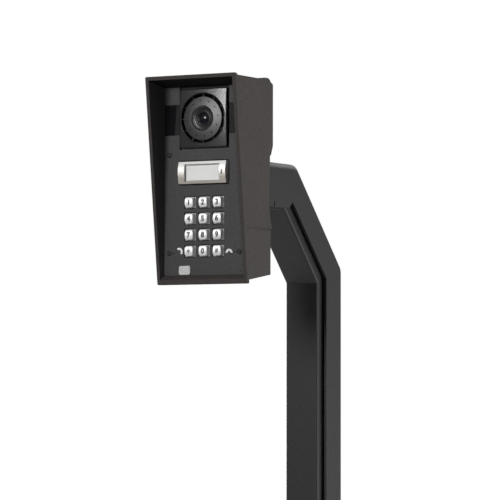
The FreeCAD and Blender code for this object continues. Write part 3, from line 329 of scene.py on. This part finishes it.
def grained_coat():
    """Orange-peel and fine grain of a sprayed or moulded surface, with faint cloudy shading."""
    tree, given, out = group_tree(
        "grained_coat",
        (("Tint", "Color"), *((label, "Float") for label in ("Roughness", "Grain", "Depth", "Cloud"))),
        (("Color", "Color"), ("Roughness", "Float"), ("Normal", "Vector")),
    )
    place = add(tree, "ShaderNodeTexCoord").outputs["Object"]
    scale = reckoned(tree, "DIVIDE", 1.0, given["Grain"])
    coarse = reckoned(tree, "MULTIPLY", scale, PEEL_SCALE)
    fine = noise(tree, Vector=place, Scale=scale, Detail=2.0, Roughness=0.6)
    peel = noise(tree, Vector=place, Scale=coarse, Detail=1.0)
    cloud = noise(tree, Vector=place, Scale=22.0, Detail=4.0, Roughness=0.55)
    darkest = reckoned(tree, "SUBTRACT", 1.0, given["Cloud"])
    lightest = reckoned(tree, "ADD", 1.0, given["Cloud"])
    shade = mapped(tree, cloud, CLOUD_NOISE, darkest, lightest)
    speck = mapped(tree, fine, SPECK_NOISE, *SPECK_SHADE)
    tint = add(tree, "ShaderNodeVectorMath", operation="SCALE")
    tree.links.new(given["Tint"], tint.inputs[0])
    tree.links.new(reckoned(tree, "MULTIPLY", shade, speck), tint.inputs["Scale"])
    height = reckoned(tree, "ADD", fine, peel)
    bump = add(tree, "ShaderNodeBump", Strength=1.0, Distance=given["Depth"], Height=height)
    tree.links.new(tint.outputs[0], out["Color"])
    tree.links.new(reckoned(tree, "MULTIPLY", given["Roughness"], shade), out["Roughness"])
    tree.links.new(bump.outputs[0], out["Normal"])
    return tree


def seen_rays(tree, gloss_level, plain_level=1.0):
    """A mask of the rays that show the background, and how bright it is in a reflection or else directly."""
    path = add(tree, "ShaderNodeLightPath").outputs
    seen = reckoned(tree, "MAXIMUM", path["Is Camera Ray"], path["Is Transmission Ray"])
    seen = reckoned(tree, "MAXIMUM", seen, path["Is Glossy Ray"])
    return seen, mapped(tree, path["Is Glossy Ray"], (0.0, 1.0), plain_level, gloss_level)


# Materials


def surface(name, **values):
    """Material with one shader and its values, by their labels with _ for a space."""
    material = bpy.data.materials.new(name)
    material.use_nodes = True
    shader = material.node_tree.nodes["Principled BSDF"]
    for label, value in values.items():
        shader.inputs[label.replace("_", " ")].default_value = value
    return material


def clear_acrylic():
    """Clear moulding that lets the lamps' light through to what lies behind it."""
    material = surface(
        "clear_acrylic", Base_Color=rgba(CLEAR_TINT), Roughness=0.04, Transmission_Weight=1.0, IOR=1.49
    )
    tree = material.node_tree
    shadow = add(tree, "ShaderNodeLightPath").outputs["Is Shadow Ray"]
    clear = add(tree, "ShaderNodeBsdfTransparent").outputs[0]
    mix = combined(tree, "ShaderNodeMixShader", shadow, tree.nodes["Principled BSDF"].outputs[0], clear)
    tree.links.new(mix, tree.nodes["Material Output"].inputs["Surface"])
    return material


def coat(name, tint, roughness, depth, cloud, size=None, specular=0.3, metal=0.0):
    """Sprayed, moulded or plated surface with grain of the given depth and size and with faint clouds."""
    material = surface(name, Specular_IOR_Level=specular, Metallic=metal)
    tree = material.node_tree
    grain = tree.nodes.new("ShaderNodeGroup")
    grain.name = "grain"
    grain.node_tree = bpy.data.node_groups.get("grained_coat") or grained_coat()
    given = {
        "Tint": rgba(tint),
        "Roughness": roughness,
        "Grain": size or settings()[0].coat_grain,
        "Depth": depth,
        "Cloud": cloud,
    }
    for label, value in given.items():
        grain.inputs[label].default_value = value
    shader = tree.nodes["Principled BSDF"]
    for label, target in (("Color", "Base Color"), ("Roughness", "Roughness"), ("Normal", "Normal")):
        tree.links.new(grain.outputs[label], shader.inputs[target])
    return material


def painted(material, mask, paint):
    """Lays a colour over the material's own where the mask is 1."""
    tree = material.node_tree
    base = tree.nodes["Principled BSDF"].inputs["Base Color"]
    tree.links.new(blended(tree, mask, base.links[0].from_socket, paint), base)
    return material


def plated_cap(name, tint, roughness, metal):
    """Satin plating on what stands out of the front plate, coloured grey as painted shade just behind the
    plate's face, and bare dark moulding further behind.
    """
    material = coat(name, tint, roughness, 0.000001, 0.02, 0.0004)
    tree = material.node_tree
    depth = surface_place(tree)["Y"]
    # painted shade: the plating just behind the plate's face is coloured grey
    painted(material, mapped(tree, depth, over(PLATE_Y, LEDGE_SHADE)), rgba(LEDGE_SHADE_GREY))
    painted(material, mapped(tree, depth, over(PLATE_Y, BARE_START)), rgba(BARE_MOULDING))
    plated = mapped(tree, depth, over(PLATE_Y, BARE_START), metal, 0.0)
    tree.links.new(plated, tree.nodes["Principled BSDF"].inputs["Metallic"])
    return material


def shaded_barrel_cap(name, tint, foot_shade, roughness, metal):
    """Call button plating with painted shade and reflection: brightest along the top, darker and warmer
    below the barrel's middle.
    """
    material = plated_cap(name, tint, roughness, metal)
    tree = material.node_tree
    low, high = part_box("call_button")
    span = (high.z - BUTTON_SHADE_START, (low.z + high.z) / 2 - BUTTON_SHADE_FULL)
    # painted shade: the tint falls from bright at the top to darker and warmer below
    fall = mapped(tree, surface_place(tree)["Z"], span)
    tree.links.new(blended(tree, fall, rgba(tint), rgba(foot_shade)), tree.nodes["grain"].inputs["Tint"])
    return material


def hood_shaded_coat(name, *values, **more):
    """Powder coat with painted shade inside the hood: on the inner sides and the roof before the front
    plate.
    """
    material = coat(name, *values, **more)
    tree = material.node_tree
    where, facing = surface_place(tree), surface_place(tree, "Normal")
    inward = mapped(tree, reckoned(tree, "MULTIPLY", where["X"], facing["X"]), HOOD_INWARD)
    downward = mapped(tree, facing["Z"], HOOD_ROOF_FACING)
    high = mapped(tree, where["Z"], over(STATION_Z, HOOD_ROOF_RISE))
    roof = reckoned(tree, "MULTIPLY", downward, high)
    before = mapped(tree, where["Y"], over(PLATE_Y, HOOD_DEPTH))
    # painted shade on the inner walls and the roof of the hood
    inside = reckoned(tree, "MULTIPLY", reckoned(tree, "MAXIMUM", inward, roof), before)
    return painted(material, inside, blended(tree, roof, rgba(INNER_WALL_SHADE), rgba(DEEP_SHADE)))


def rolled_neck_coat(name, *values, **more):
    """Coat of the folded post, whose sides are shaded as if rolled over along the top of the level run."""
    material = coat(name, *values, **more)
    tree = material.node_tree
    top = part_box("post_channel")[1].z
    span = (top - NECK_ROLL, top)
    roll = mapped(tree, surface_place(tree)["Z"], span, 0.0, -NECK_FALL, interpolation_type="SMOOTHSTEP")
    normal = tree.nodes["Principled BSDF"].inputs["Normal"]
    grain = normal.links[0].from_socket
    bump = add(tree, "ShaderNodeBump", Strength=1.0, Distance=1.0, Height=roll, Normal=grain)
    tree.links.new(bump.outputs[0], normal)
    return material


def sill_height():
    """Height of the sill under the front plate, from where a line of sight meets the plate first."""
    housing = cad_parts["housing"]
    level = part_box("front_plate")[0].z - SILL_START
    while housing.ray_cast(Vector((0, PLATE_Y - SILL_SIGHT, level)), AHEAD, distance=SILL_SIGHT)[0]:
        level += SILL_STEP
    return level


def plate_shadowed_coat(name, *values):
    """Coat of the front plate, with a painted shadow of the gap between its lower edge and the sill."""
    material = coat(name, *values)
    tree = material.node_tree
    gap_shadow = mapped(tree, surface_place(tree)["Z"], over(sill_height(), JOINT_SHADOW))
    # painted shadow along the plate's foot
    return painted(material, gap_shadow, rgba(DEEP_SHADE))


def card_with_edge_shadow(name, *values):
    """Paper card with a painted shadow of the window's frame as a broad grey line along the top, and a fine
    grey line on the other edges.
    """
    material = coat(name, *values)
    tree = material.node_tree
    low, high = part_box("label_card")
    where = surface_place(tree)
    # painted shadow along the top edge of the card
    line = mapped(tree, where["Z"], under(high.z, CARD_TOP_SHADOW))
    fine_lines = (
        ("Z", over(low.z, CARD_FOOT_LINE)),
        ("X", over(low.x, CARD_LEFT_LINE)),
        ("X", under(high.x, CARD_RIGHT_LINE)),
    )
    for axis, span in fine_lines:
        line = reckoned(tree, "MAXIMUM", line, mapped(tree, where[axis], span))
    return painted(material, line, rgba(CARD_SHADOW_AND_LINE_GREY))


def dress(material, *names):
    """Gives the CAD nodes of these names the material."""
    for name in names:
        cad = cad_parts[name]
        cad.data.materials.clear()
        cad.data.materials.append(material)


# Operators


class GATEPOST_OT_finishes(bpy.types.Operator):
    """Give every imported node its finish"""

    bl_idname = "gate_post.finishes"
    bl_label = "Finishes"

    def execute(self, context):
        finish, _, _ = settings()
        for name, tint, values, nodes in PLAIN_COATS:
            dress(coat(name, tint, *values), *nodes)
        dress(coat("zinc_steel", ZINC, 0.35, 0.00001, 0.06, metal=1.0),
              "flange_bolts", "board_screws", "board_spacers", "microphone")
        self.station(finish)
        self.plating(finish.chrome_roughness, finish.chrome_metal)
        post = rolled_neck_coat("post_coat", finish.post_colour, 0.5, 0.00008, 0.05, specular=0.35)
        dress(post, "post_channel", "post_cover", "base_plate", "head_flange", *BRACKETS)
        return {"FINISHED"}

    def station(self, finish):
        """Housing, front plate, camera, windows and card."""
        housing = hood_shaded_coat("housing_coat", finish.housing_colour, 0.6, 0.00012, 0.06, specular=0.15)
        dress(housing, "housing")
        plate = plate_shadowed_coat("front_plate_coat", finish.plate_colour, 0.5, 0.00010, 0.05, 0.0015)
        dress(plate, "front_plate")
        block = coat("block_plastic", finish.block_colour, 0.22, 0.00002, 0.03, 0.0004, specular=0.58)
        dress(block, "camera_block")
        ring = coat("ring_plastic", RING_BLACK, 0.42, 0.00002, 0.02, 0.0004, specular=0.75)
        dress(ring, "camera_ring")
        dress(surface("lens_glass", Base_Color=rgba(LENS_BLACK), Roughness=0.06, IOR=1.35), "lens_glass")
        smoked = surface("smoked_acrylic", Base_Color=rgba(SMOKED_BLACK), Roughness=0.08)
        dress(smoked, "smoked_window_left", "smoked_window_right")
        dress(clear_acrylic(), "label_window", "status_lamp")
        dress(card_with_edge_shadow("card_paper", finish.card_colour, 0.8, 0.00001, 0.01, 0.0003), "label_card")

    def plating(self, roughness, metal):
        """Keys and call button."""
        dress(plated_cap("key_chrome", KEY_PLATING, roughness, metal), *KEYS)
        dress(shaded_barrel_cap("button_chrome", BUTTON_PLATING, BUTTON_FOOT_SHADE, roughness, metal), "call_button")


def only(obj):
    """Makes the object the only one that is selected."""
    bpy.ops.object.select_all(action="DESELECT")
    obj.select_set(True)
    bpy.context.view_layer.objects.active = obj


def apply_all(obj):
    """Applies the object's modifiers in their order."""
    only(obj)
    for modifier in list(obj.modifiers):
        bpy.ops.object.modifier_apply(modifier=modifier.name)


def turned(name, outline, centre, rounding):
    """Solid of revolution about a line along Y: a circle is drawn out and in along the closed outline."""
    radius, depth = outline[0]
    bpy.ops.object.select_all(action="DESELECT")
    bpy.ops.mesh.primitive_circle_add(
        vertices=TURNED_SIDES, radius=radius, location=(centre.x, centre.y + depth, centre.z),
        rotation=(math.radians(90), 0, 0),
    )
    obj = bpy.context.active_object
    obj.name = name
    bpy.ops.object.transform_apply(location=True, rotation=True)
    bpy.ops.object.mode_set(mode="EDIT")
    bpy.ops.mesh.select_all(action="SELECT")
    for next_radius, next_depth in (*outline[1:], outline[0]):
        bpy.ops.mesh.extrude_region_move(TRANSFORM_OT_translate={"value": (0, next_depth - depth, 0)})
        ratio = max(next_radius, AXIS_RADIUS) / max(radius, AXIS_RADIUS)
        pivot = (centre.x, centre.y + next_depth, centre.z)
        bpy.ops.transform.resize(value=(ratio, 1, ratio), center_override=pivot)
        radius, depth = next_radius, next_depth
    bpy.ops.mesh.select_all(action="SELECT")
    bpy.ops.mesh.remove_doubles(threshold=0.000002)
    bpy.ops.mesh.normals_make_consistent(inside=False)
    bpy.ops.object.mode_set(mode="OBJECT")
    edge = obj.modifiers.new("rounding", "BEVEL")
    edge.limit_method = "ANGLE"
    edge.angle_limit = math.radians(30)
    edge.width = rounding
    edge.segments = 3
    apply_all(obj)
    bpy.ops.object.shade_smooth_by_angle(angle=math.radians(40))
    return obj


def print_on(obj, target, thickness, ink):
    """Lays a flat mark that faces -Y on the target's surface, as a thin closed layer of ink."""
    wrap = obj.modifiers.new("wrap", "SHRINKWRAP")
    wrap.target = target
    wrap.wrap_method = "PROJECT"
    wrap.use_project_y = True
    wrap.use_positive_direction = True
    wrap.use_negative_direction = False
    wrap.wrap_mode = "ABOVE_SURFACE"
    wrap.offset = thickness / 2
    layer = obj.modifiers.new("layer", "SOLIDIFY")
    layer.thickness = thickness
    layer.offset = 0.0
    apply_all(obj)
    obj.data.materials.clear()
    obj.data.materials.append(ink)


def centred(obj, place):
    """Moves the mesh so that the middle of its box is at the place."""
    corners = [v.co for v in obj.data.vertices]
    low = Vector([min(p[i] for p in corners) for i in range(3)])
    high = Vector([max(p[i] for p in corners) for i in range(3)])
    obj.data.transform(Matrix.Translation(place - (low + high) / 2))


class GATEPOST_OT_lens(bpy.types.Operator):
    """Turn the lens barrel with its rounded rings, and the rolled lip of the ring round it"""

    bl_idname = "gate_post.lens"
    bl_label = "Lens barrel"

    def execute(self, context):
        low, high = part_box("lens_barrel")
        rim = Vector(((low.x + high.x) / 2, low.y, (low.z + high.z) / 2))
        barrel = turned("turned_barrel", BARREL_OUTLINE, rim, BARREL_ROUNDING)
        barrel.data.materials.append(bpy.data.materials["lens_barrel_black"])
        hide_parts("lens_barrel")
        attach(barrel, "post")
        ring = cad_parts["camera_ring"]
        _, seat, _, _ = ring.ray_cast(rim + Vector((LIP_SEAT_RADIUS, -LIP_SIGHT, 0)), AHEAD)
        lip = turned("rolled_lip", LIP_OUTLINE, Vector((rim.x, seat.y, rim.z)), LIP_ROUNDING)
        lip.data.materials.append(bpy.data.materials["ring_plastic"])
        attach(lip, "post")
        return {"FINISHED"}


class GATEPOST_OT_legends(bpy.types.Operator):
    """Print the digits on the keys"""

    bl_idname = "gate_post.legends"
    bl_label = "Key legends"

    def execute(self, context):
        finish, marks, _ = settings()
        ink = coat("key_print", finish.legend_colour, 0.6, 0.000002, 0.02, 0.0003)
        for name in KEY_NAMES:
            low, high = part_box("key_" + name)
            middle = (low + high) / 2
            mark = self.letter(context, name, marks)
            centred(mark, Vector((middle.x, low.y - MARK_GAP, middle.z)))
            self.cut_level(mark, Vector((middle.x, low.y, middle.z)), marks.legend_height)
            print_on(mark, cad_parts["key_" + name], marks.print_thickness, ink)
            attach(mark, "key_" + name)
        return {"FINISHED"}

    def letter(self, context, name, marks):
        """The key's character as a flat mesh that faces -Y."""
        bpy.ops.object.select_all(action="DESELECT")
        bpy.ops.object.text_add(rotation=(math.radians(90), 0, 0))
        mark = context.active_object
        mark.name = "legend_" + name
        mark.data.body = LEGENDS.get(name, name)
        mark.data.size = marks.legend_height / CAP_SHARE * LEGEND_SHARE.get(name, 1.0)
        mark.data.offset = marks.legend_weight * LEGEND_BOLDNESS.get(name, 1.0)
        mark.data.resolution_u = 5
        bpy.ops.object.convert(target="MESH")
        mark = context.active_object
        mark.data.transform(mark.matrix_world)
        mark.matrix_world = Matrix.Identity(4)
        return mark

    def cut_level(self, mark, middle, height):
        """Cuts the mark along level lines, so that it can follow the key's curved face."""
        only(mark)
        bpy.ops.object.mode_set(mode="EDIT")
        for step in range(-CUTS, CUTS + 1):
            bpy.ops.mesh.select_all(action="SELECT")
            level = middle.z + step * height / CUTS_PER_HEIGHT
            bpy.ops.mesh.bisect(plane_co=(middle.x, middle.y, level), plane_no=(0, 0, 1))
        bpy.ops.mesh.select_all(action="SELECT")
        bpy.ops.mesh.remove_doubles(threshold=0.000001)
        bpy.ops.object.mode_set(mode="OBJECT")


class GATEPOST_OT_signs(bpy.types.Operator):
    """Print the lift and hang-up handset signs beside the lowest keys"""

    bl_idname = "gate_post.signs"
    bl_label = "Handset signs"

    def execute(self, context):
        finish, marks, _ = settings()
        ink = coat("sign_print", finish.sign_colour, 0.6, 0.000002, 0.02, 0.0003)
        for name, across, rise, turn in SIGNS:
            bpy.ops.object.select_all(action="DESELECT")
            bpy.ops.curve.primitive_bezier_circle_add(rotation=(math.radians(90), 0, 0))
            sign = context.active_object
            sign.name = name
            self.draw_outline(sign.data, marks.sign_width)
            bpy.ops.object.convert(target="MESH")
            sign = context.active_object
            bpy.ops.object.transform_apply(rotation=True)
            sign.data.transform(Matrix.Rotation(math.radians(turn), 4, "Y"))
            centred(sign, Vector((across, PLATE_Y - MARK_GAP, STATION_Z + rise)))
            print_on(sign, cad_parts["front_plate"], marks.print_thickness, ink)
            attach(sign, "post")
        return {"FINISHED"}

    def draw_outline(self, curve, width):
        """A filled flat outline through the handset's points and their mirror image."""
        curve.dimensions = "2D"
        curve.fill_mode = "BOTH"
        curve.resolution_u = 6
        curve.splines.clear()
        points = list(HANDSET) + [(-x, y) for x, y in reversed(HANDSET[1:-1])]
        spline = curve.splines.new("BEZIER")
        spline.bezier_points.add(len(points) - 1)
        spline.use_cyclic_u = True
        for point, (x, y) in zip(spline.bezier_points, points):
            point.co = (x * width, y * width, 0.0)
            point.handle_left_type = point.handle_right_type = "AUTO"


class GATEPOST_OT_stage(bpy.types.Operator):
    """Set up the pale studio, its lamps and the camera"""

    bl_idname = "gate_post.stage"
    bl_label = "Stage"

    def execute(self, context):
        _, _, stage = settings()
        scene = context.scene
        scene.view_settings.view_transform = "Standard"
        bpy.ops.object.select_all(action="DESELECT")
        bpy.ops.mesh.primitive_plane_add(size=24.0, location=(0, 0, 0))
        floor = context.active_object
        floor.name = "studio_floor"
        floor.data.materials.append(self.floor_material(stage))
        self.world(scene, stage)
        self.camera(scene, stage)
        self.lamps(scene, Vector(stage.aim))
        return {"FINISHED"}

    def floor_material(self, stage):
        """Pale floor that runs into the white background and keeps the post's shadow near its foot."""
        material = bpy.data.materials.new("studio_floor")
        material.use_nodes = True
        tree = material.node_tree
        tree.nodes.remove(tree.nodes["Principled BSDF"])
        place = add(tree, "ShaderNodeTexCoord").outputs["Object"]
        pool = mapped(tree, self.distance(tree, place, POOL_MIDDLE), POOL_FADE, 1.0, stage.floor_gloss)
        from_post = self.distance(tree, place, (0.0, 0.0, 0.0))
        glow = mapped(tree, from_post, GLOW_FADE, GLOW_NEAR, 1.0, interpolation_type="SMOOTHSTEP")
        seen, level = seen_rays(tree, pool, glow)
        matt = add(tree, "ShaderNodeBsdfDiffuse", Color=rgba(stage.floor_colour)).outputs[0]
        lit = add(tree, "ShaderNodeBsdfDiffuse", Color=rgba(LIT_FLOOR)).outputs[0]
        white = add(tree, "ShaderNodeEmission", Strength=level).outputs[0]
        shadowed = combined(tree, "ShaderNodeAddShader", white, lit)
        direct = add(tree, "ShaderNodeLightPath").outputs["Is Camera Ray"]
        shown = combined(tree, "ShaderNodeMixShader", direct, white, shadowed)
        mix = combined(tree, "ShaderNodeMixShader", seen, matt, shown)
        tree.links.new(mix, tree.nodes["Material Output"].inputs["Surface"])
        return material

    def distance(self, tree, place, centre):
        """How far a place is from the centre."""
        offset = combined(tree, "ShaderNodeVectorMath", place, centre, operation="SUBTRACT")
        return add(tree, "ShaderNodeVectorMath", operation="LENGTH", Vector=offset).outputs["Value"]

    def world(self, scene, stage):
        """White background that lights the post faintly and shows dimmer in reflections."""
        world = bpy.data.worlds.new("studio_room")
        scene.world = world
        world.use_nodes = True
        tree = world.node_tree
        tree.nodes.clear()
        seen, level = seen_rays(tree, stage.sky_gloss)
        plain = combined(tree, "ShaderNodeBackground", (1, 1, 1, 1), stage.sky_strength)
        white = combined(tree, "ShaderNodeBackground", (1, 1, 1, 1), level)
        out = add(tree, "ShaderNodeOutputWorld")
        tree.links.new(combined(tree, "ShaderNodeMixShader", seen, plain, white), out.inputs["Surface"])

    def camera(self, scene, stage):
        """The photo's camera, turned and raised about the aim."""
        data = bpy.data.cameras.new("photo_view")
        data.lens = stage.lens
        data.sensor_width = 36.0
        data.clip_end = 100.0
        camera = bpy.data.objects.new("photo_view", data)
        scene.collection.objects.link(camera)
        turn, rise = stage.view_turn, stage.view_rise
        ahead = Vector((-math.sin(turn) * math.cos(rise), math.cos(turn) * math.cos(rise), math.sin(rise)))
        right = Vector((math.cos(turn), math.sin(turn), 0.0))
        up = right.cross(ahead)
        across = right * math.cos(stage.view_roll) - up * math.sin(stage.view_roll)
        above = right * math.sin(stage.view_roll) + up * math.cos(stage.view_roll)
        place = Matrix((across, above, -ahead)).transposed().to_4x4()
        place.translation = Vector(stage.aim) - ahead * stage.view_distance
        camera.matrix_world = place
        scene.camera = camera

    def lamps(self, scene, aim):
        """Soft lamps round the aim, which all face it."""
        for name, way, distance, width, height, power in LAMPS:
            data = bpy.data.lights.new(name, "AREA")
            data.shape = "ELLIPSE"
            data.size = width
            data.size_y = height
            data.energy = power
            lamp = bpy.data.objects.new(name, data)
            scene.collection.objects.link(lamp)
            way = Vector(way).normalized()
            lamp.location = aim + way * distance
            lamp.rotation_euler = (-way).to_track_quat("-Z", "Y").to_euler()


class GATEPOST_PT_panel(bpy.types.Panel):
    """Sizes, colours and steps of the gate post"""

    bl_idname = "GATEPOST_PT_panel"
    bl_label = "Gate intercom post"
    bl_space_type = "VIEW_3D"
    bl_region_type = "UI"
    bl_category = "Gate post"

    def draw(self, context):
        for group in settings():
            column = self.layout.column()
            for name in group.bl_rna.properties.keys():
                if name not in ("rna_type", "name"):
                    column.prop(group, name)
        for step in STEPS:
            self.layout.operator(step.bl_idname)


STEPS = (GATEPOST_OT_finishes, GATEPOST_OT_lens, GATEPOST_OT_legends, GATEPOST_OT_signs, GATEPOST_OT_stage)
GROUPS = {"gate_finishes": GATEPOST_finishes, "gate_print": GATEPOST_print, "gate_stage": GATEPOST_stage}


def register():
    for kind in (*GROUPS.values(), *STEPS, GATEPOST_PT_panel):
        bpy.utils.register_class(kind)
    for name, kind in GROUPS.items():
        setattr(bpy.types.Scene, name, PointerProperty(type=kind))


def unregister():
    for name in GROUPS:
        delattr(bpy.types.Scene, name)
    for kind in (*GROUPS.values(), *STEPS, GATEPOST_PT_panel):
        bpy.utils.unregister_class(kind)


def main():
    register()
    bpy.ops.gate_post.finishes()
    bpy.ops.gate_post.lens()
    bpy.ops.gate_post.legends()
    bpy.ops.gate_post.signs()
    bpy.ops.gate_post.stage()


if __name__ == "__main__":
    main()
